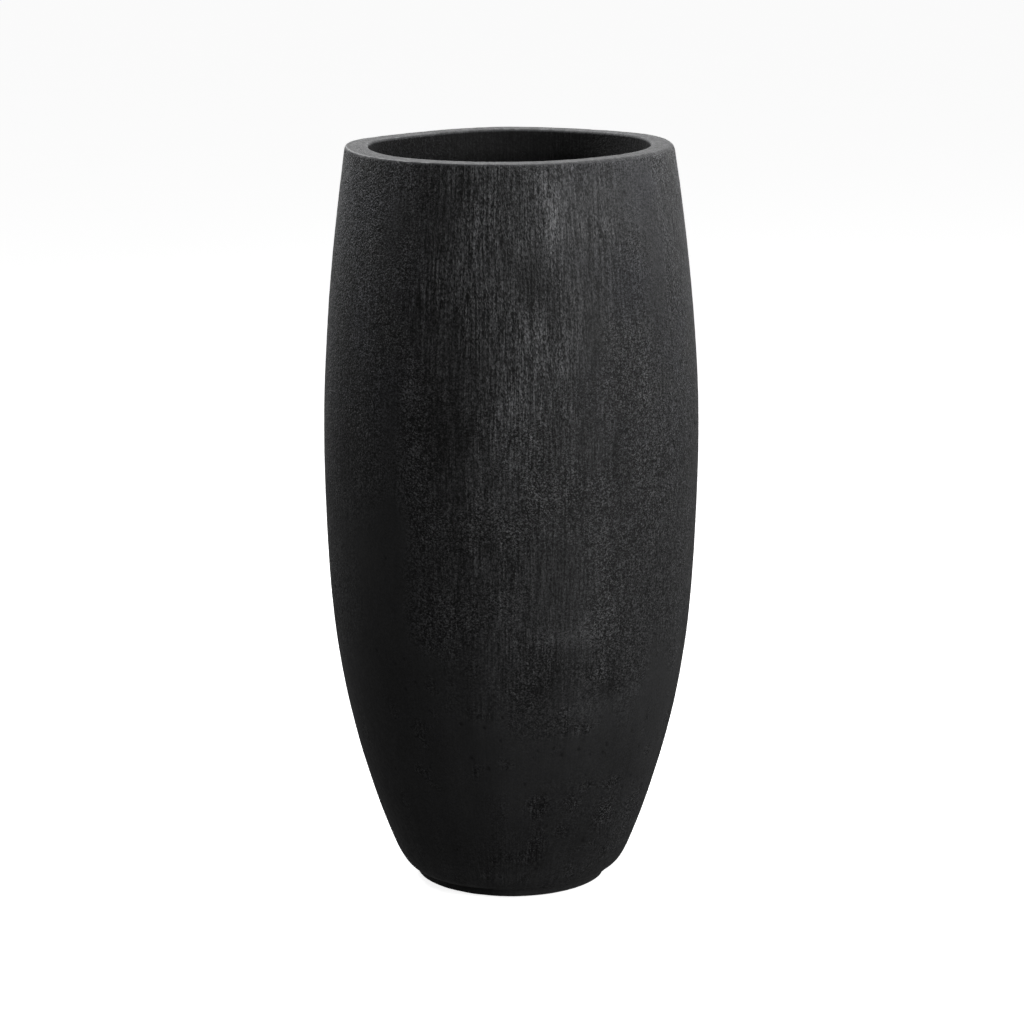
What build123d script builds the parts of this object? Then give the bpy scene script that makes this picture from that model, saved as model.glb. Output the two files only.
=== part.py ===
from build123d import *
import os

# Round barrel-shaped concrete floor planter.
# Frame: millimetres, +Z up, origin on the floor under the centre of the foot.

os.makedirs("parts", exist_ok=True)

# ---------------------------------------------------------------- driving dimensions
TOTAL_H = 710.0        # floor to the flat of the rim
PAD_PROUD = 1.5        # height of the rubber pads under the foot ring

# foot ring, cast with the body and stepped in under it
FOOT_R = 91.0          # outer radius of the foot ring
FOOT_BORE_R = 63.0     # radius of the hollow under the foot
FOOT_TOP_Z = 9.5       # where the ring meets the underside of the body
FOOT_EDGE = 1.6        # worn outer edge of the ring
UNDERSIDE_Z = 8.0      # ceiling of the hollow under the foot

# outer wall: radius at each height, from the lower lip to the rim
LIP_R, LIP_Z = 95.6, 10.2
OUTER_WALL = [
    (98.2, 11.2), (100.9, 13.0), (103.5, 15.5), (105.9, 18.5), (108.5, 22.5),
    (111.2, 27.5), (114.2, 34.0), (118.75, 45.0), (126.4, 65.0), (136.3, 95.0),
    (147.85, 135.0), (159.4, 185.0), (168.9, 245.0), (174.4, 310.0), (177.1, 375.0),
    (177.9, 440.0), (175.8, 505.0), (171.3, 565.0), (166.1, 615.0), (161.2, 655.0),
    (157.2, 685.0), (153.4, 710.0),
]

# rim and mouth
MOUTH_R = 132.2        # radius of the short straight land inside the rim
MOUTH_LAND_Z = 686.0   # lower end of that land
RIM_OUTER_FILLET = 4.5
RIM_INNER_FILLET = 2.2

# inner wall: radius at each height, from below the mouth land to the floor
INNER_WALL = [
    (134.6, 672.0), (141.5, 645.0), (149.6, 600.0), (156.0, 545.0), (159.4, 485.0),
    (160.1, 430.0), (159.2, 370.0), (156.3, 305.0), (150.4, 240.0), (140.8, 180.0),
    (128.6, 130.0), (116.6, 90.0), (106.4, 60.0),
]
FLOOR_EDGE_R = 99.0    # where the wall meets the floor
FLOOR_Z = 34.0         # top of the planter's floor
FLOOR_FILLET = 12.0    # trowelled cove round the floor

# drain hole and its rubber stopper
DRAIN_R = 12.3
DRAIN_LEAD_IN = 1.5
PLUG_TOP_R = 12.0
PLUG_TIP_R = 10.9
PLUG_FLANGE_R = 21.0
PLUG_FLANGE_T = 3.0
PLUG_BELOW = 22.0      # length of the tapered body below the flange
TAB_W, TAB_T, TAB_H = 15.0, 4.0, 14.0
TAB_EYE_R = 3.2

# rubber pads
PAD_R = 10.0
PAD_RING_R = 77.0
PAD_COUNT = 4

# reinforcement wire
RIM_WIRE_R = 2.5
RIM_HOOP_R = 143.4
RIM_HOOP_Z = 697.0
WIRE_R = 1.5
UPRIGHT_COUNT = 8
# centre line of an upright: from the inner end of its floor leg up to the rim
UPRIGHT_ROUTE = [
    (30.0, 21.0), (97.0, 21.0), (118.0, 68.0), (137.5, 125.0), (155.0, 205.0),
    (165.6, 305.0), (168.0, 410.0), (164.4, 520.0), (155.6, 610.0), (139.9, 690.0),
]
UPRIGHT_BENDS = [26.0, 190.0, 300.0, 420.0, 560.0, 560.0, 560.0, 420.0]
# hoops tied outside the uprights, at the same wall heights
WALL_HOOPS = [
    (121.3, 68.0), (146.3, 150.0), (162.0, 240.0), (169.7, 340.0),
    (170.3, 440.0), (165.7, 540.0), (156.2, 624.0),
]

# ---------------------------------------------------------------- reinforcement
with BuildPart() as rim_hoop:
    with BuildSketch(Plane.XZ) as rim_wire_section:
        with Locations((RIM_HOOP_R, RIM_HOOP_Z)):
            Circle(RIM_WIRE_R)
    revolve(axis=Axis.Z)
rim_hoop.part.label = "rim_hoop"

with BuildPart() as wall_hoops:
    with BuildSketch(Plane.XZ) as wall_wire_sections:
        with Locations(*WALL_HOOPS):
            Circle(WIRE_R)
    revolve(axis=Axis.Z)
wall_hoops.part.label = "wall_hoops"

with BuildPart() as upright:
    with BuildLine(Plane.XZ) as upright_route:
        FilletPolyline(*UPRIGHT_ROUTE, radius=UPRIGHT_BENDS)
    with BuildSketch(upright_route.line ^ 0) as upright_section:
        Circle(WIRE_R)
    sweep()

with BuildPart() as upright_bars:
    with PolarLocations(0, UPRIGHT_COUNT, start_angle=22.5):
        add(upright.part)
upright_bars.part.label = "upright_bars"

# ---------------------------------------------------------------- the casting
with BuildPart() as planter_shell:
    with BuildSketch(Plane.XZ) as wall_section:
        with BuildLine():
            # hollow under the foot, foot ring and the lip that overhangs it
            Polyline(
                (0, UNDERSIDE_Z), (FOOT_BORE_R, UNDERSIDE_Z), (FOOT_BORE_R, PAD_PROUD),
                (FOOT_R, PAD_PROUD), (FOOT_R, FOOT_TOP_Z), (LIP_R, LIP_Z),
            )
            # barrel
            Spline((LIP_R, LIP_Z), *OUTER_WALL)
            # rim flat and the mouth's straight land
            Polyline(OUTER_WALL[-1], (MOUTH_R, TOTAL_H), (MOUTH_R, MOUTH_LAND_Z))
            # inner wall, leaving the land tangentially
            Spline(
                (MOUTH_R, MOUTH_LAND_Z), *INNER_WALL, (FLOOR_EDGE_R, FLOOR_Z),
                tangents=[(0, -1), (-0.29, -1)],
            )
            Polyline((FLOOR_EDGE_R, FLOOR_Z), (0, FLOOR_Z), (0, UNDERSIDE_Z))
        make_face()
    revolve(axis=Axis.Z)

    rings = planter_shell.edges().filter_by(GeomType.CIRCLE)
    rim_edges = rings.filter_by_position(Axis.Z, TOTAL_H - 0.01, TOTAL_H + 0.01)
    fillet(rim_edges.sort_by(SortBy.RADIUS)[-1], radius=RIM_OUTER_FILLET)
    rings = planter_shell.edges().filter_by(GeomType.CIRCLE)
    mouth_edge = rings.filter_by_position(Axis.Z, TOTAL_H - 0.01, TOTAL_H + 0.01).sort_by(SortBy.RADIUS)[0]
    fillet(mouth_edge, radius=RIM_INNER_FILLET)
    rings = planter_shell.edges().filter_by(GeomType.CIRCLE)
    foot_edge = rings.filter_by_position(Axis.Z, PAD_PROUD - 0.01, PAD_PROUD + 0.01).sort_by(SortBy.RADIUS)[-1]
    fillet(foot_edge, radius=FOOT_EDGE)
    rings = planter_shell.edges().filter_by(GeomType.CIRCLE)
    cove = rings.filter_by_position(Axis.Z, FLOOR_Z - 0.01, FLOOR_Z + 0.01).sort_by(SortBy.RADIUS)[-1]
    fillet(cove, radius=FLOOR_FILLET)

    # drain hole through the floor, with a small lead-in on the inside
    with Locations((0, 0, FLOOR_Z)):
        CounterSinkHole(DRAIN_R, DRAIN_R + DRAIN_LEAD_IN, depth=FLOOR_Z - UNDERSIDE_Z + 1.0, counter_sink_angle=90)

    # the concrete is poured round its wires
    add(rim_hoop.part, mode=Mode.SUBTRACT)
    add(wall_hoops.part, mode=Mode.SUBTRACT)
    add(upright_bars.part, mode=Mode.SUBTRACT)
planter_shell.part.label = "planter_shell"

# ---------------------------------------------------------------- rubber stopper
with BuildPart() as drain_plug:
    with BuildSketch(Plane.XZ) as plug_section:
        with BuildLine():
            Polyline(
                (0, FLOOR_Z + PLUG_FLANGE_T), (PLUG_FLANGE_R - 0.8, FLOOR_Z + PLUG_FLANGE_T),
                (PLUG_FLANGE_R, FLOOR_Z + PLUG_FLANGE_T - 0.8), (PLUG_FLANGE_R, FLOOR_Z),
                (PLUG_TOP_R, FLOOR_Z), (PLUG_TIP_R, FLOOR_Z - PLUG_BELOW + 2.0),
                (PLUG_TIP_R - 2.0, FLOOR_Z - PLUG_BELOW), (0, FLOOR_Z - PLUG_BELOW),
                close=True,
            )
        make_face()
    revolve(axis=Axis.Z)
    # pull tab, standing on the flange
    with BuildSketch(Plane.XZ.offset(-TAB_T / 2)) as tab_section:
        with Locations((0, FLOOR_Z + PLUG_FLANGE_T + TAB_H / 2 - 0.5)):
            RectangleRounded(TAB_W, TAB_H + 1.0, 4.0)
        with Locations((0, FLOOR_Z + PLUG_FLANGE_T + TAB_H / 2 + 1.5)):
            Circle(TAB_EYE_R, mode=Mode.SUBTRACT)
        with Locations((0, FLOOR_Z + PLUG_FLANGE_T + 2.0)):
            Rectangle(TAB_W, 5.0)
    extrude(amount=TAB_T)
drain_plug.part.label = "drain_plug"

# ---------------------------------------------------------------- pads
with BuildPart() as foot_pads:
    with BuildSketch(Plane.XY) as pad_outline:
        with PolarLocations(PAD_RING_R, PAD_COUNT, start_angle=45):
            Circle(PAD_R)
    extrude(amount=PAD_PROUD)
foot_pads.part.label = "foot_pads"

# ---------------------------------------------------------------- files
export_step(planter_shell.part, "parts/planter_shell.step")
export_step(drain_plug.part, "parts/drain_plug.step")
export_step(foot_pads.part, "parts/foot_pads.step")
export_step(rim_hoop.part, "parts/rim_hoop.step")
export_step(wall_hoops.part, "parts/wall_hoops.step")
export_step(upright_bars.part, "parts/upright_bars.step")

for piece in (planter_shell, drain_plug, foot_pads, rim_hoop, wall_hoops, upright_bars):
    box = piece.part.bounding_box()
    print(piece.part.label, "solids", len(piece.part.solids()), "volume", round(piece.part.volume, 1),
          "box", [round(v, 2) for v in (*box.min, *box.max)], "valid", piece.part.is_valid)
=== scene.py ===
import math

import bmesh
import bpy
import numpy as np
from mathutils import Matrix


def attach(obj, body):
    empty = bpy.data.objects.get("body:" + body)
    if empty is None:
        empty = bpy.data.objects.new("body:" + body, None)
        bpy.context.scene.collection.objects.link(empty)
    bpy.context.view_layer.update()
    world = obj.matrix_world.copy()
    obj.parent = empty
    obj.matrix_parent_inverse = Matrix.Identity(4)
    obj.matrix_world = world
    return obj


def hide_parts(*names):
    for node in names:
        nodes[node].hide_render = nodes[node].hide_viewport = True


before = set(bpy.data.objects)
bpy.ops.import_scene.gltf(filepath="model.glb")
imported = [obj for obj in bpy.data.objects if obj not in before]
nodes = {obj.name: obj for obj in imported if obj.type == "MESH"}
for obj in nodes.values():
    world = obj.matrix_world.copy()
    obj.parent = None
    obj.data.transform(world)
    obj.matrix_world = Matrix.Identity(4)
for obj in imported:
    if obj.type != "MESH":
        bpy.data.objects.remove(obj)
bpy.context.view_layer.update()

MM = 0.001

# =====================================================================================
# small helpers
# =====================================================================================


def smooth(a, b, x):
    t = np.clip((x - a) / (b - a), 0.0, 1.0)
    return t * t * (3.0 - 2.0 * t)


def spline(xs, ys):
    """Natural cubic spline through (xs, ys)."""
    xs = np.asarray(xs, float)
    ys = np.asarray(ys, float)
    n = len(xs)
    h = np.diff(xs)
    a = np.zeros((n, n))
    b = np.zeros(n)
    a[0, 0] = a[-1, -1] = 1.0
    for i in range(1, n - 1):
        a[i, i - 1] = h[i - 1]
        a[i, i] = 2.0 * (h[i - 1] + h[i])
        a[i, i + 1] = h[i]
        b[i] = 6.0 * ((ys[i + 1] - ys[i]) / h[i] - (ys[i] - ys[i - 1]) / h[i - 1])
    m = np.linalg.solve(a, b)

    def f(x):
        x = np.asarray(x, float)
        i = np.clip(np.searchsorted(xs, x) - 1, 0, n - 2)
        t = x - xs[i]
        u = xs[i + 1] - x
        return (
            m[i] * u ** 3 / (6 * h[i])
            + m[i + 1] * t ** 3 / (6 * h[i])
            + (ys[i] / h[i] - m[i] * h[i] / 6) * u
            + (ys[i + 1] / h[i] - m[i + 1] * h[i] / 6) * t
        )

    return f


def gradient_noise(p, seed):
    """Perlin noise of points p (n, 3), about -1 to 1, from a seeded table."""
    rng = np.random.default_rng(seed)
    perm = rng.permutation(256)
    perm = np.concatenate([perm, perm, perm])
    g = rng.normal(size=(256, 3))
    g /= np.linalg.norm(g, axis=1)[:, None]
    i = np.floor(p).astype(np.int64)
    f = p - i
    i &= 255
    w = f * f * f * (f * (f * 6 - 15) + 10)
    out = np.zeros(len(p))
    for dx in (0, 1):
        for dy in (0, 1):
            for dz in (0, 1):
                k = perm[perm[perm[(i[:, 0] + dx) & 255] + ((i[:, 1] + dy) & 255)] + ((i[:, 2] + dz) & 255)]
                d = (
                    g[k, 0] * (f[:, 0] - dx)
                    + g[k, 1] * (f[:, 1] - dy)
                    + g[k, 2] * (f[:, 2] - dz)
                )
                wx = w[:, 0] if dx else 1 - w[:, 0]
                wy = w[:, 1] if dy else 1 - w[:, 1]
                wz = w[:, 2] if dz else 1 - w[:, 2]
                out += d * wx * wy * wz
    return out * 1.6


def fractal(p, seed, octaves=3, gain=0.5, lacunarity=2.03):
    total = np.zeros(len(p))
    amp = 1.0
    norm = 0.0
    for o in range(octaves):
        total += amp * gradient_noise(p * lacunarity ** o + 17.3 * o, seed + o)
        norm += amp
        amp *= gain
    return total / norm


# =====================================================================================
# the casting: one closed mesh, ring by ring round the axis (lengths in mm here)
# =====================================================================================

N_AROUND = 900
OUT_Z = [10.2, 11.2, 13.0, 15.5, 18.5, 22.5, 27.5, 34.0, 45.0, 65.0, 95.0, 135.0, 185.0, 245.0,
         310.0, 375.0, 440.0, 505.0, 565.0, 615.0, 655.0, 685.0, 710.0]
OUT_R = [95.6, 98.2, 100.9, 103.5, 105.9, 108.5, 111.2, 114.2, 118.75, 126.4, 136.3, 147.85, 159.4,
         168.9, 174.4, 177.1, 177.9, 175.8, 171.3, 166.1, 161.2, 157.2, 153.4]
IN_Z = [34.0, 60.0, 90.0, 130.0, 180.0, 240.0, 305.0, 370.0, 430.0, 485.0, 545.0, 600.0, 645.0,
        672.0, 686.0, 700.0]
IN_R = [99.0, 106.4, 116.6, 128.6, 140.8, 150.4, 156.3, 159.2, 160.1, 159.4, 156.0, 149.6, 141.5,
        134.9, 132.4, 132.2]
outer_r = spline(OUT_Z, OUT_R)
inner_r = spline(IN_Z, IN_R)
H = 710.0


def build_profile():
    """Stations of the closed section, as (radius, height, zone), going up the inside, over the rim and down the outside."""
    st = []

    def add(r, z, zone):
        st.append((float(r), float(z), zone))

    # drain hole, from its lower mouth up to the lead-in
    for z in np.linspace(9.0, 32.4, 7):
        add(12.3, z, "hole")
    add(12.5, 32.9, "hole")
    add(13.6, 34.0, "floor")
    # floor
    for r in np.linspace(15.5, 84.0, 26):
        add(r, 34.0, "floor")
    # cove between floor and wall, radius 12
    r_c, z_c = 86.3, 46.0
    for a in np.linspace(-90, -18, 9):
        add(r_c + 12 * math.cos(math.radians(a)) + 1.2 * smooth(-60, -18, a), z_c + 12 * math.sin(math.radians(a)), "inner")
    # inner wall: coarser low down, finer near the mouth
    zs = [48.0]
    while zs[-1] < 684.0:
        zs.append(zs[-1] + (7.0 if zs[-1] < 430 else 4.5 if zs[-1] < 600 else 2.6))
    for z in zs:
        add(inner_r(z), z, "inner")
    for z in np.arange(687.0, 707.3, 2.0):
        add(132.2, z, "inner")
    # inner edge of the rim, radius 2.2
    for a in np.linspace(180, 90, 8)[1:]:
        add(134.4 + 2.2 * math.cos(math.radians(a)), 707.8 + 2.2 * math.sin(math.radians(a)), "rim")
    # rim flat
    for r in (135.8, 137.4, 139.0, 140.6, 142.2, 143.8, 145.4, 147.0, 148.4, 149.6, 150.6, 151.5):
        add(r, 710.0, "rim")
    # outer edge of the rim, radius 1.3, blending into the wall; it is worn rounder on one side further down
    for a in np.linspace(90, 8, 7):
        add(152.3 + 1.3 * math.cos(math.radians(a)), 708.7 + 1.3 * math.sin(math.radians(a)), "rim")
    # outer wall
    zs = [708.0, 707.1, 706.1, 705.0, 703.6]
    while zs[-1] > 46.0:
        zs.append(zs[-1] - 2.15)
    while zs[-1] > 24.0:
        zs.append(zs[-1] - 1.5)
    while zs[-1] > 12.2:
        zs.append(zs[-1] - 0.8)
    for z in zs:
        add(outer_r(z), z, "outer")
    add(outer_r(11.0), 11.0, "lip")
    add(96.2, 10.45, "lip")
    add(95.0, 10.1, "lip")
    add(93.4, 9.9, "under_lip")
    add(91.9, 9.6, "under_lip")
    # foot ring
    for z in (9.0, 8.0, 6.9, 5.7, 4.5, 3.5):
        add(91.0, z, "foot")
    for a in np.linspace(0, -90, 6)[1:]:
        add(89.4 + 1.6 * math.cos(math.radians(a)), 3.1 + 1.6 * math.sin(math.radians(a)), "foot")
    for r in np.linspace(87.0, 64.0, 9):
        add(r, 1.5, "sole")
    add(63.2, 1.8, "under")
    add(63.0, 3.0, "under")
    add(63.0, 7.0, "under")
    add(62.2, 8.0, "under")
    for r in np.linspace(58.0, 14.5, 12):
        add(r, 8.0, "under")
    add(12.7, 8.2, "under")
    return st


stations = build_profile()
R0 = np.array([s[0] for s in stations])
Z0 = np.array([s[1] for s in stations])
ZONE = np.array([s[2] for s in stations])
M = len(stations)
N = N_AROUND
ARC = np.concatenate([[0.0], np.cumsum(np.hypot(np.diff(R0), np.diff(Z0)))])

theta = (np.arange(N) / N) * 2 * math.pi - math.pi          # -180 to 180 degrees; the camera looks from -90
TH = np.broadcast_to(theta[None, :], (M, N)).reshape(-1)
RR = np.repeat(R0, N)
ZZ = np.repeat(Z0, N)
SS = np.repeat(ARC, N)
ZN = np.repeat(ZONE, N)
CT, ST = np.cos(TH), np.sin(TH)

is_outer = np.isin(ZN, ["outer", "lip"])
is_inner = np.isin(ZN, ["inner"])
is_rim = ZN == "rim"
is_floor = ZN == "floor"
is_foot = np.isin(ZN, ["foot", "under_lip"])
is_sole = ZN == "sole"

# section normals, pointing out of the concrete
nr = np.gradient(Z0)
nz = -np.gradient(R0)
ln = np.hypot(nr, nz)
ln[ln == 0] = 1
# the path runs up the inside and down the outside, so the outward side is on its left
NR = np.repeat(-nr / ln, N)
NZ = np.repeat(-nz / ln, N)

# noise coordinates: "unrolled" ones follow the brush strokes down the barrel's meridians
R_REF = 170.0
CYL = np.stack([R_REF * CT, R_REF * ST, SS], 1)
POS = np.stack([RR * CT, RR * ST, ZZ], 1)


def cyl_noise(across, along, seed, octaves=2, gain=0.5):
    p = CYL / np.array([across, across, along])
    return fractal(p, seed, octaves, gain)


def pos_noise(size, seed, octaves=2, gain=0.5):
    return fractal(POS / size, seed, octaves, gain)


def near(th_deg, z, across_mm, tall_mm, r_at=170.0):
    """1 at a place on the outer wall, falling to 0 past that half-width and half-height."""
    d = np.angle(np.exp(1j * (TH - math.radians(th_deg)))) * r_at
    q = (d / across_mm) ** 2 + ((ZZ - z) / tall_mm) ** 2
    return np.exp(-q) * is_outer


# ---- how sandy (1) or brushed in strokes (0) each place is
left_side = 0.5 - 0.5 * np.cos(TH)                             # 1 on the -X side
sandy = 0.28 + 1.05 * smooth(0.62, 0.95, left_side) + 0.55 * smooth(0.60, 0.85, 1 - left_side) + 0.55 * pos_noise(60.0, 31, 2)
sandy += 0.32 * smooth(560.0, 430.0, ZZ)
sandy = np.clip(sandy, 0.0, 1.0)
# ---- how strong the texture is: open and crisp above, skinned over with slurry low down and in places
coarse = 0.80 + 0.55 * pos_noise(85.0, 41, 3, 0.55) + 0.25 * cyl_noise(30.0, 120.0, 43, 2)
coarse -= 0.75 * smooth(285.0, 175.0, ZZ + 40.0 * pos_noise(90.0, 45, 2))
coarse -= 0.80 * near(-44, 678, 44, 42) + 0.35 * near(-38, 620, 24, 60)
coarse -= 0.70 * near(-131, 640, 15, 62) + 0.65 * near(-128, 470, 13, 60)
coarse -= 0.80 * near(-140, 330, 48, 120) + 0.45 * near(-128, 250, 40, 90)
coarse -= 0.55 * near(-30, 210, 45, 60) + 0.55 * near(-127, 375, 20, 45) + 0.50 * near(-126, 232, 24, 46)
patchy = smooth(0.12, 0.42, pos_noise(34.0, 47, 3, 0.55)) * smooth(300.0, 200.0, ZZ)
coarse += 0.55 * patchy
for a, z, w, t, k in [(-80, 250, 12, 14, .8), (-56, 238, 20, 7, .8), (-86, 225, 24, 12, .5), (-100, 205, 14, 10, .5), (-74, 188, 26, 12, .45),
                      (-80, 108, 12, 10, .9), (-66, 108, 8, 8, .6), (-79, 62, 7, 16, .9), (-70, 78, 8, 8, .6), (-50, 88, 10, 14, .8),
                      (-30, 60, 20, 24, .5), (-10, 150, 16, 70, .5), (-172, 250, 16, 90, .45), (-176, 90, 14, 60, .5)]:
    coarse += k * near(a, z, w, t, float(outer_r(z)))
coarse += 0.25 * smooth(0.62, 0.95, left_side) * smooth(330.0, 480.0, ZZ)
coarse = np.clip(coarse, 0.0, 1.12)
trowelled = 1.0 - coarse

# ---- displacement along the surface normal, in mm
disp = np.zeros(M * N)
wall = (is_outer | is_rim | is_foot).astype(float)
fade_lip = smooth(10.0, 30.0, ZZ)
wob = 0.42 * pos_noise(170.0, 1, 2) + 0.30 * pos_noise(70.0, 2, 2)
brush = 0.12 * cyl_noise(8.0, 90.0, 3, 2, 0.6) + 0.10 * cyl_noise(4.4, 22.0, 5, 1)
grain = 0.15 * pos_noise(5.6, 7, 2, 0.6) * (0.35 + 0.65 * sandy)
disp += is_outer * (0.38 + wob + (0.12 + 0.88 * coarse) * (brush * (1.2 - 0.7 * sandy) + grain))
disp += is_rim * (0.22 * pos_noise(28.0, 11, 3, 0.6) + 0.05 * pos_noise(6.0, 12, 2))
disp += is_inner * (0.9 * pos_noise(60.0, 13, 2) + 0.35 * pos_noise(15.0, 14, 3, 0.6)) * smooth(40, 70, ZZ) * (1 - 0.65 * smooth(676, 704, ZZ))
disp += is_floor * 0.35 * pos_noise(18.0, 15, 3, 0.6) * smooth(22.0, 30.0, RR)
disp += is_foot * 0.25 * pos_noise(14.0, 16, 3, 0.6)

# shallow dents and flats left by the hand tools
rng = np.random.default_rng(2024)
for _ in range(26):
    a = rng.uniform(-180, 180)
    z = rng.uniform(60, 690)
    w = rng.uniform(14, 38)
    t = rng.uniform(22, 70)
    disp += -rng.uniform(0.12, 0.42) * near(a, z, w, t, float(outer_r(z)))

# air-bubble pits and small scabs in the skin, in loose clusters; the pits' bowls are also painted with shade in the
# colour
PIT_SHADE = np.zeros(M * N)
clusters = [(-81.5, 250, 16, 30, 14), (-56.5, 236, 16, 20, 12), (-80.0, 105, 10, 26, 13), (-79.5, 52, 9, 18, 12),
            (-55.0, 78, 14, 20, 10), (-101.0, 178, 20, 40, 8), (-63.0, 150, 26, 26, 10), (-52.0, 640, 10, 40, 5)]
for k in range(22):
    clusters.append((rng.uniform(-30, 240), rng.uniform(30, 660), rng.uniform(12, 34), rng.uniform(14, 44), int(rng.integers(5, 15))))
pits = []
for a, z, wa, wz, n in clusters:
    for _ in range(n):
        zz = z + rng.normal() * wz * 0.6
        if not 22 < zz < 698:
            continue
        pits.append((a + math.degrees(rng.normal() * wa * 0.6 / 165.0), zz, rng.uniform(0.9, 2.6), rng.uniform(0.25, 0.85)))
for _ in range(260):
    zz = rng.uniform(24, 698)
    pits.append((rng.uniform(-180, 180), zz, rng.uniform(0.8, 2.1), rng.uniform(0.2, 0.6)))
outer_rows = np.where(np.isin(ZONE, ["outer"]))[0]
zrow = Z0[outer_rows]
P2 = disp.reshape(M, N)
PIT_SHADE_GRID = PIT_SHADE.reshape(M, N)
for a, z, rad, dep in pits:
    rows = outer_rows[np.abs(zrow - z) < rad * 2.6]
    if not len(rows):
        continue
    rl = float(outer_r(z))
    col0 = (math.radians(a) + math.pi) / (2 * math.pi) * N
    half = int(rad * 2.6 / (2 * math.pi * rl / N)) + 1
    cols = np.arange(int(col0) - half, int(col0) + half + 1)
    dth = (cols - col0) * (2 * math.pi / N) * rl
    cols = cols % N
    q = np.sqrt((dth[None, :] / rad) ** 2 + ((Z0[rows][:, None] - z) / rad) ** 2)
    bowl = np.maximum(1 - q * q, 0.0) ** 1.2
    lip = 0.14 * np.exp(-((q - 1.18) / 0.22) ** 2)
    P2[np.ix_(rows, cols)] += dep * (lip - bowl)
    PIT_SHADE_GRID[np.ix_(rows, cols)] = np.maximum(PIT_SHADE_GRID[np.ix_(rows, cols)], bowl)
disp = P2.reshape(-1)
PIT_SHADE = PIT_SHADE_GRID.reshape(-1)

# chips and rub marks along the rim's two edges
edge_out = np.exp(-((RR - 152.7) / 1.5) ** 2) * is_rim
edge_in = np.exp(-((RR - 133.6) / 2.0) ** 2) * is_rim
chip_n = fractal(np.stack([150 * CT, 150 * ST, RR * 0 + 3.0], 1) / 7.0, 51, 3, 0.6)
disp += -0.35 * edge_out * smooth(0.10, 0.55, chip_n) - 0.35 * edge_in * smooth(0.15, 0.6, -chip_n)

R1 = RR + disp * NR
Z1 = ZZ + disp * NZ

# ---- hand-made shape: waviness of the rim, rounder edge on one side, tilt and fill of the foot step
top = smooth(560.0, 705.0, ZZ)
wave = (0.43 + 1.38 * CT - 0.13 * ST + 0.38 * np.cos(2 * TH) + 0.17 * np.sin(2 * TH) - 0.21 * np.cos(3 * TH)
        - 0.11 * np.sin(3 * TH) + 0.34 * np.cos(4 * TH) + 0.12 * np.sin(4 * TH) - 0.21 * np.cos(5 * TH) + 0.24 * np.sin(5 * TH))
Z1 = Z1 + top * (wave + 0.15)
# the outer edge of the rim is worn rounder towards +X
WORN_R = 1.4 + 3.4 * smooth(-0.10, 0.75, CT) + 0.8 * smooth(0.1, 0.8, ST) * (1 - smooth(-0.1, 0.75, CT))
corner = (is_rim | is_outer) & (ZZ > 700.0) & (RR > 146.0)
u_c = WORN_R - (153.75 - RR)
w_c = WORN_R - (710.0 - ZZ)
d_c = np.hypot(u_c, w_c)
pull = np.where(corner & (u_c > 0) & (w_c > 0) & (d_c > WORN_R), 1.0 - WORN_R / np.maximum(d_c, 1e-6), 0.0)
R1 = R1 - u_c * pull
Z1 = Z1 - w_c * pull

# foot: the step shows all round the left and back, and slurry fills it towards the front and right
DEG = np.degrees(TH)
fill = smooth(-108.0, -88.0, DEG + 3.0 * pos_noise(14.0, 91, 2)) * (1 - smooth(-26.0, -8.0, DEG))
lip_lift = 0.75 + 2.45 * CT + 0.4 * np.sin(2 * TH + 0.6)
near_lip = np.exp(-((ZZ - 10.3) / 5.5) ** 2) * (is_outer | is_foot)
R1 = R1 + is_foot * 1.6 * smooth(0.2, 0.95, CT) * smooth(1.5, 8.0, ZZ)
R1 = R1 - near_lip * is_outer * 1.3 * (1 - CT) * 0.5 * smooth(16.0, 10.0, ZZ)
filled_r = np.interp(ZZ, [1.5, 2.2, 3.1, 4.5, 6.5, 9.0, 11.0, 13.0, 16.0], [90.4, 92.0, 93.1, 94.3, 95.8, 97.6, 99.2, 100.9, 103.9])
join = fill * (is_foot | is_outer) * (ZZ < 15.9) * smooth(15.9, 12.5, ZZ)
R1 = R1 * (1 - join) + filled_r * join
lip_lift = lip_lift + 2.4 * smooth(0.80, 1.0, CT)
Z1 = Z1 + near_lip * lip_lift * (ZZ > 5) * (1 - 0.6 * fill)

# the axis leans by a millimetre or two, as a hand-turned piece does
lean_x = spline([0, 30, 125, 255, 480, 620, 705, 712], [0.4, 0.7, 0.75, 0.2, 0.0, -0.8, -1.6, -1.7])
lean_y = spline([0, 200, 450, 712], [0.2, -0.4, 0.3, -0.5])
X1 = R1 * CT + np.where(is_foot | is_sole, -0.8, lean_x(ZZ))
Y1 = R1 * ST + lean_y(ZZ)
hole = np.exp(-((RR - 12.3) / 6.0) ** 2) * np.isin(ZN, ["hole", "floor", "under"])
X1 = X1 * (1 - hole) + hole * RR * CT
Y1 = Y1 * (1 - hole) + hole * RR * ST
Z1 = np.where(is_sole, 1.5 + 0.0 * Z1, Z1)
Z1 = np.maximum(Z1, 1.5)

# ---- colour and finish masks, one value per vertex
streak = cyl_noise(26.0, 520.0, 61, 2, 0.55)
cloud = pos_noise(70.0, 71, 3, 0.55)
mottle = pos_noise(17.0, 75, 3, 0.6)
tone = 0.26 * streak + 0.20 * cloud + 0.12 * mottle
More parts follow.
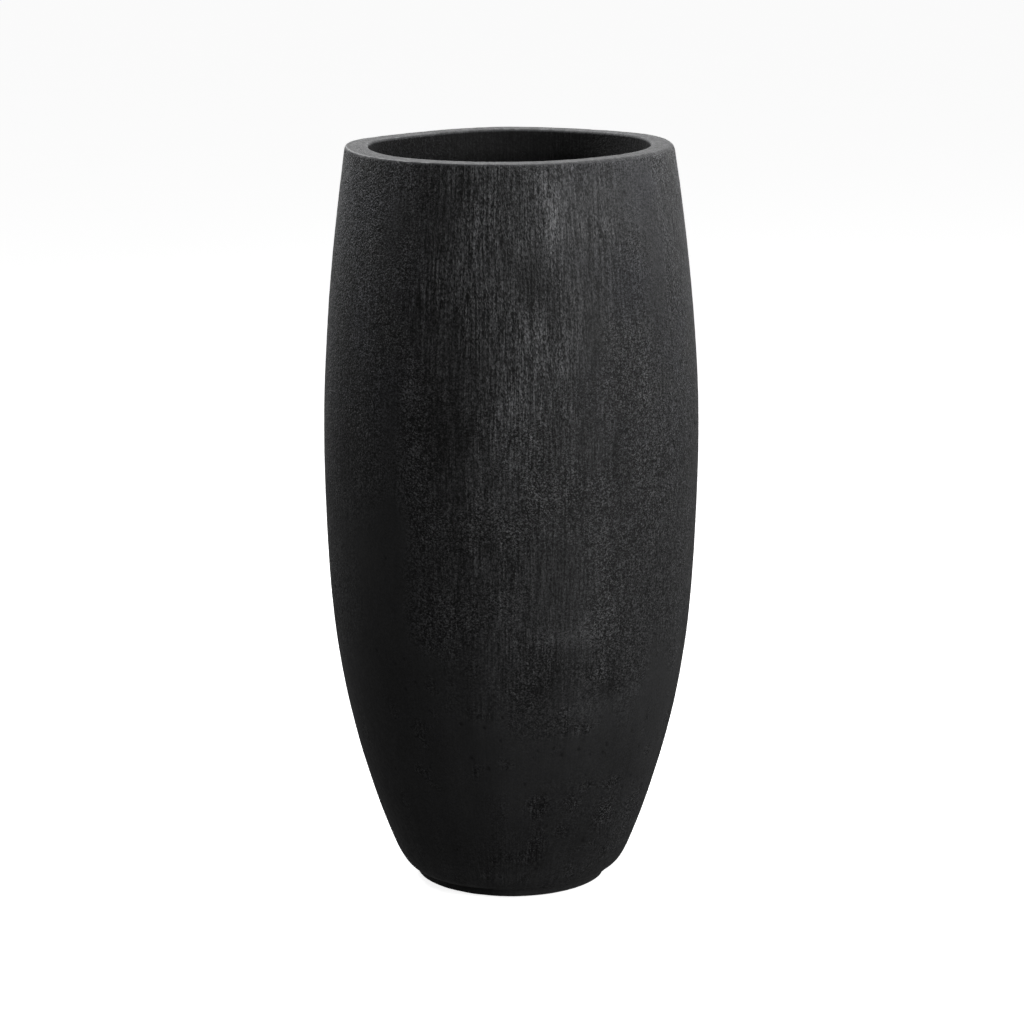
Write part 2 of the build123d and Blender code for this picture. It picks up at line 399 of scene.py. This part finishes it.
# paler and darker places, by direction, height, half-width, half-height and strength
for a, z, w, t, k in [
        (-76.5, 655, 8, 34, 0.95), (-79.0, 690, 8, 26, 0.50), (-114, 672, 17, 32, -0.45), (-83.5, 607, 13, 18, -0.80),
        (-77, 585, 6, 20, -0.40), (-83, 560, 12, 22, 0.50), (-76, 520, 12, 34, 0.35), (-64, 545, 8, 80, -0.50),
        (-69, 480, 6, 60, -0.25), (-57, 430, 7, 60, -0.30), (-110, 470, 18, 38, -0.45), (-96, 440, 14, 60, 0.15),
        (-121, 510, 12, 30, 0.30), (-168, 520, 26, 40, 0.35), (-172, 430, 18, 40, 0.40), (-150, 600, 24, 60, 0.20),
        (-150, 435, 22, 24, -0.45), (-165, 395, 26, 16, -0.35), (-72, 278, 36, 12, 0.45), (-90, 300, 16, 26, 0.20),
        (-81, 228, 10, 14, -0.65), (-58, 226, 15, 8, -0.60), (-66, 204, 20, 12, 0.25), (-160, 120, 14, 40, -0.35),
        (-165, 160, 12, 18, 0.40), (-50, 330, 20, 60, -0.15), (-35, 690, 70, 46, 0.35), (-78, 105, 10, 12, -0.40),
        (-60, 70, 14, 16, -0.30), (-95, 26, 40, 10, 0.30), (-128, 30, 26, 12, 0.35), (-88, 500, 24, 55, 0.50), (-160, 660, 30, 50, 0.25), (-126, 110, 34, 60, 0.30),
        (-68, 110, 22, 60, -0.20), (-104, 220, 16, 50, -0.20)]:
    tone += k * near(a, z, w, t, float(outer_r(z)))
# painted light and shade: the outer wall is painted lighter towards the top and darker towards the bottom
tone += 0.30 * smooth(520.0, 700.0, ZZ) * is_outer - 0.25 * smooth(300.0, 60.0, ZZ) * is_outer
# painted shade: the pits are darkened in the colour
tone -= 0.8 * PIT_SHADE
for _ in range(18):
    a = rng.uniform(10, 160)
    z = rng.uniform(60, 680)
    tone += rng.choice([-0.45, 0.5]) * near(a, z, rng.uniform(6, 20), rng.uniform(20, 80), float(outer_r(z)))
# the cavity is painted with shade, darkest just under the mouth, and paler and mottled towards the floor
tone += (is_inner | is_floor) * (0.55 + 0.25 * mottle) * smooth(640.0, 520.0, ZZ)
cool = smooth(330.0, 600.0, ZZ) * is_outer * np.clip(0.45 + 1.2 * pos_noise(55.0, 95, 2), 0, 1) * (smooth(0.35, 0.8, -CT) + 0.8 * smooth(0.05, 0.6, CT))
# painted shade: the foot ring under the lip, where the step stays open, is darkened
foot_step_shade = is_foot * (1 - fill) * 0.9
rub = 0.5 + 0.5 * cyl_noise(12.0, 40.0, 83, 2)
# the rim is painted lighter: wear on its top, and a painted highlight along both edges, strongest on the outer edge on
# the -X side
wear_and_highlight = 0.30 * is_rim + 0.35 * is_rim * pos_noise(12.0, 81, 3, 0.6)
wear_and_highlight += 0.75 * edge_out * (0.25 + 0.75 * smooth(0.45, 0.9, left_side)) * (0.6 + 0.6 * rub) + 0.55 * edge_in * (0.5 + 0.6 * rub)
wear_and_highlight = np.clip(wear_and_highlight, 0, 1)

co = np.stack([X1, Y1, Z1], 1) * MM


def make_shell():
    me = bpy.data.meshes.new("concrete_casting")
    idx = np.arange(M * N).reshape(M, N)
    a = idx
    b = np.roll(idx, -1, axis=1)
    c = np.roll(np.roll(idx, -1, axis=0), -1, axis=1)
    d = np.roll(idx, -1, axis=0)
    faces = np.stack([a, b, c, d], -1).reshape(-1, 4)
    nf = len(faces)
    me.vertices.add(M * N)
    me.vertices.foreach_set("co", co.astype(np.float32).ravel())
    me.loops.add(nf * 4)
    me.loops.foreach_set("vertex_index", faces.astype(np.int32).ravel())
    me.polygons.add(nf)
    me.polygons.foreach_set("loop_start", (np.arange(nf) * 4).astype(np.int32))
    me.polygons.foreach_set("loop_total", np.full(nf, 4, np.int32))
    me.update(calc_edges=True)
    me.validate()
    me.polygons.foreach_set("use_smooth", np.ones(nf, bool))
    # unwrap: each ring is a row, in three strips stacked up the square
    v = np.zeros(M + 1)
    seg = np.hypot(np.diff(np.append(R0, R0[0])), np.diff(np.append(Z0, Z0[0])))
    scale = np.where(np.isin(ZONE, ["outer", "rim", "lip"]), 1.0, np.where(np.isin(ZONE, ["inner"]), 0.36, 0.42))
    v[1:] = np.cumsum(seg * scale)
    v /= v[-1]
    u = np.arange(N + 1) / N
    uv = np.zeros((M, N, 4, 2))
    uv[:, :, 0, 0] = u[None, :-1]
    uv[:, :, 1, 0] = u[None, 1:]
    uv[:, :, 2, 0] = u[None, 1:]
    uv[:, :, 3, 0] = u[None, :-1]
    uv[:, :, 0, 1] = v[:-1, None]
    uv[:, :, 1, 1] = v[:-1, None]
    uv[:, :, 2, 1] = v[1:, None]
    uv[:, :, 3, 1] = v[1:, None]
    layer = me.uv_layers.new(name="OFBake")
    layer.data.foreach_set("uv", (uv * 0.998 + 0.001).astype(np.float32).ravel())

    def attr(name, values):
        at = me.attributes.new(name, "FLOAT", "POINT")
        at.data.foreach_set("value", values.astype(np.float32))

    attr("tone", tone)
    attr("sandy", sandy)
    attr("coarse", coarse)
    attr("wear_and_highlight", wear_and_highlight)
    attr("pit_and_foot_shade", np.maximum(PIT_SHADE, foot_step_shade))
    attr("cool", cool)
    # painted shade: this mask darkens the cavity's colour, most near the mouth; it also makes the cavity rougher
    attr("inside", (is_inner | is_floor | (ZN == "hole")) * (0.12 + 0.88 * smooth(560.0, 650.0, ZZ)))
    at = me.attributes.new("brushspace", "FLOAT_VECTOR", "POINT")
    at.data.foreach_set("vector", (CYL * MM).astype(np.float32).ravel())
    me.update()
    ob = bpy.data.objects.new("concrete_casting", me)
    bpy.context.scene.collection.objects.link(ob)
    return ob


shell = make_shell()
print("shell verts", len(shell.data.vertices), "faces", len(shell.data.polygons), "rows", M)


# =====================================================================================
# materials
# =====================================================================================


class Tree:
    """Small wrapper that keeps node building readable."""

    def __init__(self, name):
        self.mat = bpy.data.materials.new(name)
        self.mat.use_nodes = True
        self.t = self.mat.node_tree
        self.t.nodes.clear()
        self.out = self.t.nodes.new("ShaderNodeOutputMaterial")
        self.bsdf = self.t.nodes.new("ShaderNodeBsdfPrincipled")
        self.t.links.new(self.bsdf.outputs[0], self.out.inputs[0])

    def link(self, a, b):
        self.t.links.new(a, b)

    def node(self, kind, **kw):
        n = self.t.nodes.new(kind)
        for k, v in kw.items():
            setattr(n, k, v)
        return n

    def attr(self, name, vector=False):
        n = self.node("ShaderNodeAttribute", attribute_name=name)
        return n.outputs["Vector"] if vector else n.outputs["Fac"]

    def math(self, op, a, b=0.0, c=0.0, clamp=False):
        n = self.node("ShaderNodeMath", operation=op, use_clamp=clamp)
        for i, x in enumerate((a, b, c)):
            if hasattr(x, "links"):
                self.link(x, n.inputs[i])
            else:
                n.inputs[i].default_value = x
        return n.outputs[0]

    def scaled(self, vec, s):
        n = self.node("ShaderNodeMapping")
        self.link(vec, n.inputs[0])
        n.inputs["Scale"].default_value = s
        return n.outputs[0]

    def noise(self, vec, scale, detail=3.0, rough=0.55, distortion=0.0, stretch=None):
        v = self.scaled(vec, stretch) if stretch else vec
        n = self.node("ShaderNodeTexNoise")
        self.link(v, n.inputs["Vector"])
        n.inputs["Scale"].default_value = scale
        n.inputs["Detail"].default_value = detail
        n.inputs["Roughness"].default_value = rough
        n.inputs["Distortion"].default_value = distortion
        return n.outputs["Fac"]

    def cells(self, vec, scale, stretch=None):
        """One random value per cell, like grains of sand seen from above."""
        v = self.scaled(vec, stretch) if stretch else vec
        n = self.node("ShaderNodeTexVoronoi", feature="F1")
        self.link(v, n.inputs["Vector"])
        n.inputs["Scale"].default_value = scale
        split = self.node("ShaderNodeSeparateColor")
        self.link(n.outputs["Color"], split.inputs[0])
        return split.outputs[0], n.outputs["Distance"]

    def voronoi(self, vec, scale, feature="F1", rnd=1.0):
        n = self.node("ShaderNodeTexVoronoi", feature=feature)
        self.link(vec, n.inputs["Vector"])
        n.inputs["Scale"].default_value = scale
        n.inputs["Randomness"].default_value = rnd
        return n.outputs["Distance"]

    def ramp(self, fac, stops):
        n = self.node("ShaderNodeValToRGB")
        self.link(fac, n.inputs[0])
        el = n.color_ramp.elements
        while len(el) > 1:
            el.remove(el[-1])
        el[0].position = stops[0][0]
        el[0].color = (*stops[0][1], 1.0) if len(stops[0][1]) == 3 else stops[0][1]
        for p, c in stops[1:]:
            e = el.new(p)
            e.color = (*c, 1.0) if len(c) == 3 else c
        return n.outputs["Color"]

    def rangev(self, v, a, b, c, d, clamp=True):
        n = self.node("ShaderNodeMapRange", clamp=clamp)
        self.link(v, n.inputs["Value"])
        for k, x in zip(("From Min", "From Max", "To Min", "To Max"), (a, b, c, d)):
            n.inputs[k].default_value = x
        return n.outputs[0]

    def mix(self, fac, a, b):
        n = self.node("ShaderNodeMix", data_type="RGBA")
        if hasattr(fac, "links"):
            self.link(fac, n.inputs[0])
        else:
            n.inputs[0].default_value = fac
        for i, x in ((6, a), (7, b)):
            if hasattr(x, "links"):
                self.link(x, n.inputs[i])
            else:
                n.inputs[i].default_value = (*x, 1.0)
        return n.outputs[2]

    def bump(self, height, distance, strength=1.0, normal=None):
        n = self.node("ShaderNodeBump")
        self.link(height, n.inputs["Height"])
        n.inputs["Distance"].default_value = distance
        n.inputs["Strength"].default_value = strength
        if normal is not None:
            self.link(normal, n.inputs["Normal"])
        return n.outputs[0]


def concrete():
    t = Tree("charcoal_concrete")
    pos = t.node("ShaderNodeTexCoord").outputs["Object"]
    cyl = t.attr("brushspace", True)
    tone_a = t.attr("tone")
    sandy_a = t.attr("sandy")
    coarse_a = t.attr("coarse")
    wear_and_highlight_a = t.attr("wear_and_highlight")
    pit_and_foot_shade_a = t.attr("pit_and_foot_shade")
    inside_a = t.attr("inside")
    cool_a = t.attr("cool")

    # fine structure: sand grain, drawn out a little down the barrel, and the brush's long scratches through it
    grain = t.noise(pos, 430.0, 1.0, 0.5, 0.25)
    drawn = t.noise(cyl, 430.0, 1.0, 0.5, 0.2, stretch=(1.0, 1.0, 0.62))
    scratch = t.noise(cyl, 560.0, 1.0, 0.5, 0.0, stretch=(1.0, 1.0, 0.055))
    lumps = t.noise(pos, 170.0, 2.0, 0.5)
    long_lines = t.noise(cyl, 210.0, 2.0, 0.6, 0.0, stretch=(1.0, 1.0, 0.03))
    pores = t.voronoi(pos, 190.0)
    s_mix = t.math("ADD", t.math("MULTIPLY", drawn, 0.60), t.math("MULTIPLY", scratch, 0.40))
    g_mix = t.math("ADD", t.math("MULTIPLY", grain, 0.82), t.math("MULTIPLY", scratch, 0.18))
    s_sharp = t.rangev(s_mix, 0.39, 0.61, 0.0, 1.0)
    g_sharp = t.rangev(g_mix, 0.39, 0.61, 0.0, 1.0)
    sand = t.rangev(sandy_a, 0.15, 0.85, 0.0, 1.0)
    relief = t.math("ADD", t.math("MULTIPLY", s_sharp, t.math("SUBTRACT", 1.0, sand)), t.math("MULTIPLY", g_sharp, sand))
    grit, grit_d = t.cells(pos, 1020.0)
    strands, strands_d = t.cells(cyl, 1000.0, stretch=(1.0, 1.0, 0.52))
    single = t.mix(sand, strands, grit)
    single_d = t.mix(sand, strands_d, grit_d)
    outside = t.math("SUBTRACT", 1.0, inside_a)
    amount = t.rangev(coarse_a, 0.0, 1.0, 0.10, 1.0)

    # ---- colour
    base = t.ramp(
        t.rangev(tone_a, -1.0, 1.0, 0.0, 1.0),
        [(0.0, (0.0110, 0.0111, 0.0114)), (0.35, (0.0200, 0.0201, 0.0207)), (0.55, (0.0310, 0.0312, 0.0321)),
         (0.8, (0.053, 0.0534, 0.0550)), (1.0, (0.084, 0.0845, 0.087))],
    )
    base = t.mix(t.math("MULTIPLY", cool_a, 0.30), base, (0.026, 0.027, 0.037))
    # grains stand lighter than the hollows between them, by as much as the skin is open: partly the grains' own colour,
    # partly painted shade in the hollows
    drawn_out = t.rangev(scratch, 0.36, 0.64, 0.0, 1.0)
    coarse_mix = t.math("ADD", t.math("MULTIPLY", relief, t.rangev(sand, 0.0, 1.0, 0.22, 0.22)), t.math("MULTIPLY", drawn_out, t.rangev(sand, 0.0, 1.0, 0.22, 0.06)))
    shade = t.math("ADD", coarse_mix, t.math("MULTIPLY", single, t.rangev(sand, 0.0, 1.0, 0.56, 0.72)))
    swing = t.math("MULTIPLY", amount, t.rangev(sand, 0.0, 1.0, 2.35, 3.25))
    speck = t.math("ADD", 1.0, t.math("MULTIPLY", swing, t.math("SUBTRACT", shade, 0.5)))
    speck = t.math("POWER", t.math("MAXIMUM", speck, 0.08), 2.2)
    level = t.math("ADD", 1.0, t.math("MULTIPLY", t.math("MULTIPLY", swing, swing), 0.060))
    speck = t.math("DIVIDE", speck, level)
    streaks = t.math("MULTIPLY", t.math("SUBTRACT", long_lines, 0.5), t.math("ADD", 0.10, t.math("MULTIPLY", amount, 0.60)))
    speck = t.math("MULTIPLY", speck, t.math("ADD", 1.0, streaks))
    light = t.node("ShaderNodeCombineColor")
    for k in range(3):
        t.link(speck, light.inputs[k])
    light = light.outputs[0]
    n = t.node("ShaderNodeMix", data_type="RGBA", blend_type="MULTIPLY")
    n.inputs[0].default_value = 1.0
    t.link(base, n.inputs[6])
    t.link(light, n.inputs[7])
    col = n.outputs[2]
    # the rim lighter for wear and painted highlight, and a pale painted highlight line along the -X outer edge
    col = t.mix(t.math("MULTIPLY", wear_and_highlight_a, 0.75), col, (0.095, 0.096, 0.100))
    col = t.mix(t.rangev(wear_and_highlight_a, 0.78, 1.0, 0.0, 0.85), col, (0.24, 0.242, 0.246))
    # painted shade: the pits and the open foot step under the lip are darkened nearly to black
    col = t.mix(t.math("MULTIPLY", pit_and_foot_shade_a, 0.7), col, (0.006, 0.006, 0.0065))
    # painted shade in the cavity, strongest near the mouth
    col = t.mix(t.math("MULTIPLY", inside_a, 0.80), col, (0.0070, 0.0070, 0.0072))
    t.link(col, t.bsdf.inputs["Base Color"])

    # ---- roughness
    rough = t.rangev(lumps, 0.3, 0.7, 0.52, 0.66)
    rough = t.math("ADD", rough, t.math("MULTIPLY", inside_a, 0.20))
    rough = t.math("ADD", rough, t.math("MULTIPLY", relief, -0.06))
    t.link(rough, t.bsdf.inputs["Roughness"])
    t.bsdf.inputs["Specular IOR Level"].default_value = 0.25

    # ---- relief
    dome = t.rangev(single_d, 0.0, 0.8, 0.55, 0.0)
    fine = t.math("MULTIPLY", t.math("ADD", t.math("MULTIPLY", relief, 0.62), dome), amount)
    faint = t.math("MULTIPLY", t.math("ADD", t.math("MULTIPLY", long_lines, 0.5), t.math("MULTIPLY", lumps, 0.6)), 0.16)
    pore = t.math("MULTIPLY", t.rangev(pores, 0.0, 0.22, -0.35, 0.0), amount)
    height = t.math("ADD", t.math("ADD", fine, faint), pore)
    t.link(t.bump(height, 0.00052, 1.0), t.bsdf.inputs["Normal"])
    return t.mat


def rubber(name, base, seed_scale=420.0):
    t = Tree(name)
    pos = t.node("ShaderNodeTexCoord").outputs["Object"]
    a = t.noise(pos, seed_scale, 3.0, 0.6)
    b = t.noise(pos, 60.0, 2.0, 0.5)
    c0 = tuple(v * 0.7 for v in base)
    c1 = tuple(v * 1.45 for v in base)
    t.link(t.mix(t.rangev(b, 0.3, 0.7, 0.0, 1.0), c0, c1), t.bsdf.inputs["Base Color"])
    t.link(t.rangev(a, 0.3, 0.7, 0.46, 0.66), t.bsdf.inputs["Roughness"])
    t.bsdf.inputs["Specular IOR Level"].default_value = 0.5
    t.link(t.bump(a, 0.00012, 0.7), t.bsdf.inputs["Normal"])
    return t.mat


def galvanised():
    t = Tree("galvanised_wire")
    pos = t.node("ShaderNodeTexCoord").outputs["Object"]
    spangle = t.voronoi(pos, 260.0)
    fine = t.noise(pos, 900.0, 2.0, 0.6)
    t.link(t.ramp(spangle, [(0.0, (0.42, 0.43, 0.44)), (1.0, (0.66, 0.67, 0.68))]), t.bsdf.inputs["Base Color"])
    t.bsdf.inputs["Metallic"].default_value = 1.0
    t.link(t.rangev(fine, 0.3, 0.7, 0.34, 0.52), t.bsdf.inputs["Roughness"])
    t.link(t.bump(fine, 0.00006, 0.5), t.bsdf.inputs["Normal"])
    return t.mat


def assign(ob, mat):
    ob.data.materials.clear()
    ob.data.materials.append(mat)


CONCRETE = concrete()
PLUG = rubber("plug_rubber", (0.022, 0.022, 0.0225))
PADS = rubber("pad_rubber", (0.040, 0.040, 0.042), 700.0)
WIRE = galvanised()
assign(shell, CONCRETE)
assign(nodes["drain_plug"], PLUG)
assign(nodes["foot_pads"], PADS)
for w in ("rim_hoop", "wall_hoops", "upright_bars"):
    assign(nodes[w], WIRE)

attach(shell, "planter")
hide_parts("planter_shell")

# =====================================================================================
# stage, light and camera
# =====================================================================================


def stage_floor():
    me = bpy.data.meshes.new("studio_floor")
    bm = bmesh.new()
    bmesh.ops.create_grid(bm, x_segments=8, y_segments=8, size=40.0)
    bm.to_mesh(me)
    bm.free()
    ob = bpy.data.objects.new("studio_floor", me)
    bpy.context.scene.collection.objects.link(ob)
    t = Tree("pale_floor")
    pos = t.node("ShaderNodeTexCoord").outputs["Object"]
    n = t.noise(pos, 3.0, 2.0, 0.5)
    t.link(t.ramp(n, [(0.0, (0.80, 0.80, 0.80)), (1.0, (0.83, 0.83, 0.83))]), t.bsdf.inputs["Base Color"])
    t.bsdf.inputs["Roughness"].default_value = 0.9
    t.bsdf.inputs["Specular IOR Level"].default_value = 0.0
    t.bsdf.inputs["Emission Color"].default_value = (1, 1, 1, 1)
    t.bsdf.inputs["Emission Strength"].default_value = 0.86
    assign(ob, t.mat)
    ob.visible_diffuse = False
    ob.visible_glossy = False
    return ob


stage_floor()


def area(name, loc, target, size, power, color=(1, 1, 1)):
    data = bpy.data.lights.new(name, "AREA")
    data.shape = "RECTANGLE"
    data.size, data.size_y = size
    data.energy = power
    data.color = color
    ob = bpy.data.objects.new(name, data)
    bpy.context.scene.collection.objects.link(ob)
    ob.location = loc
    d = np.array(target, float) - np.array(loc, float)
    from mathutils import Vector
    ob.rotation_euler = Vector(d).to_track_quat("-Z", "Y").to_euler()
    ob.visible_camera = False
    return ob


area("key_right", (1.75, -1.5, 1.1), (0.0, 0.0, 0.45), (1.0, 1.2), 35.0)
area("top", (0.15, 0.35, 2.3), (0.0, 0.0, 0.6), (1.8, 1.4), 32.0)
area("top_front", (0.1, -1.3, 2.2), (0.0, 0.0, 0.5), (1.6, 1.0), 7.0)
area("edge_left", (-1.4, 0.9, 1.8), (0.0, 0.0, 0.6), (0.7, 0.7), 25.0)
area("edge_right", (1.7, 1.1, 0.75), (0.0, 0.0, 0.42), (0.5, 1.1), 4.3)
back = area("back_card", (0.0, 3.2, 1.5), (0.0, 0.0, 0.7), (4.5, 2.6), 60.0)
# the back card lights the planter only, so that the floor keeps one even tone
not_floor = bpy.data.collections.new("back_card_receivers")
not_floor.objects.link(bpy.data.objects["studio_floor"])
back.light_linking.receiver_collection = not_floor
not_floor.collection_objects[0].light_linking.link_state = "EXCLUDE"

world = bpy.data.worlds.new("studio")
bpy.context.scene.world = world
world.use_nodes = True
wt = world.node_tree
wt.nodes.clear()
wo = wt.nodes.new("ShaderNodeOutputWorld")
mixw = wt.nodes.new("ShaderNodeMixShader")
cam_bg = wt.nodes.new("ShaderNodeBackground")
lit_bg = wt.nodes.new("ShaderNodeBackground")
lp = wt.nodes.new("ShaderNodeLightPath")
cam_bg.inputs[0].default_value = (0.956, 0.956, 0.956, 1)
cam_bg.inputs[1].default_value = 1.0
lit_bg.inputs[0].default_value = (1.0, 1.0, 1.0, 1)
lit_bg.inputs[1].default_value = 0.118
wt.links.new(lp.outputs["Is Camera Ray"], mixw.inputs[0])
wt.links.new(lit_bg.outputs[0], mixw.inputs[1])
wt.links.new(cam_bg.outputs[0], mixw.inputs[2])
wt.links.new(mixw.outputs[0], wo.inputs[0])

cam_data = bpy.data.cameras.new("camera")
cam = bpy.data.objects.new("camera", cam_data)
bpy.context.scene.collection.objects.link(cam)
cam_data.sensor_fit = "HORIZONTAL"
cam_data.sensor_width = 36.0
cam_data.lens = 3315.9 * 36.0 / 1024.0
cam_data.clip_start = 0.05
cam_data.clip_end = 200.0
cam.location = (0.00077, -3.100, 1.0649)
cam.rotation_euler = (math.radians(90.0 - 12.846), 0.0, 0.0)
bpy.context.scene.camera = cam

sc = bpy.context.scene
sc.view_settings.view_transform = "Standard"
sc.view_settings.look = "None"
sc.view_settings.exposure = 0.0
sc.view_settings.gamma = 1.0
